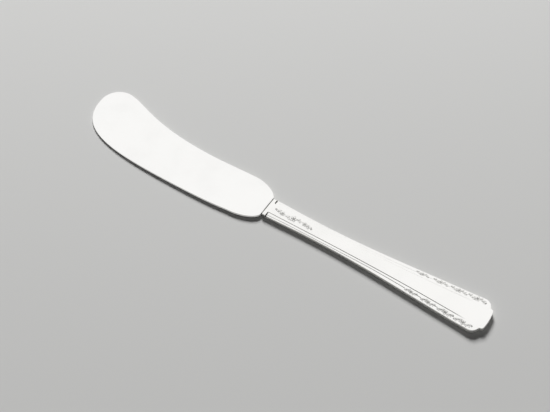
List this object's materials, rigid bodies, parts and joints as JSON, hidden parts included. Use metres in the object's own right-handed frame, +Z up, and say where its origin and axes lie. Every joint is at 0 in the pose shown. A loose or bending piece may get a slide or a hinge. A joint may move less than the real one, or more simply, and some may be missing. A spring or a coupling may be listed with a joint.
{
  "type": "butter knife",
  "caption": "Individual butter knife with a rounded paddle blade, a plain neck collar and a flat two-shell handle with a lined border and a notched end.",
  "frame": {"origin": "middle of the knife's length and width, on the surface it lies on", "axes": "+X from the blade tip to the handle end, +Y across the knife to the side on which the blade tip rises, +Z up through the decorated front of the handle"},
  "size_m": [0.155, 0.0246, 0.0018],
  "materials": {
    "silver_blade": "polished",
    "silver_handle": "polished",
    "hard_filler": "matte"
  },
  "bodies": {
    "root": {"blade": "silver_blade", "neck_collar": "silver_handle", "handle_front": "silver_handle", "handle_back": "silver_handle", "handle_filler": "hard_filler"}
  },
  "joints": []
}
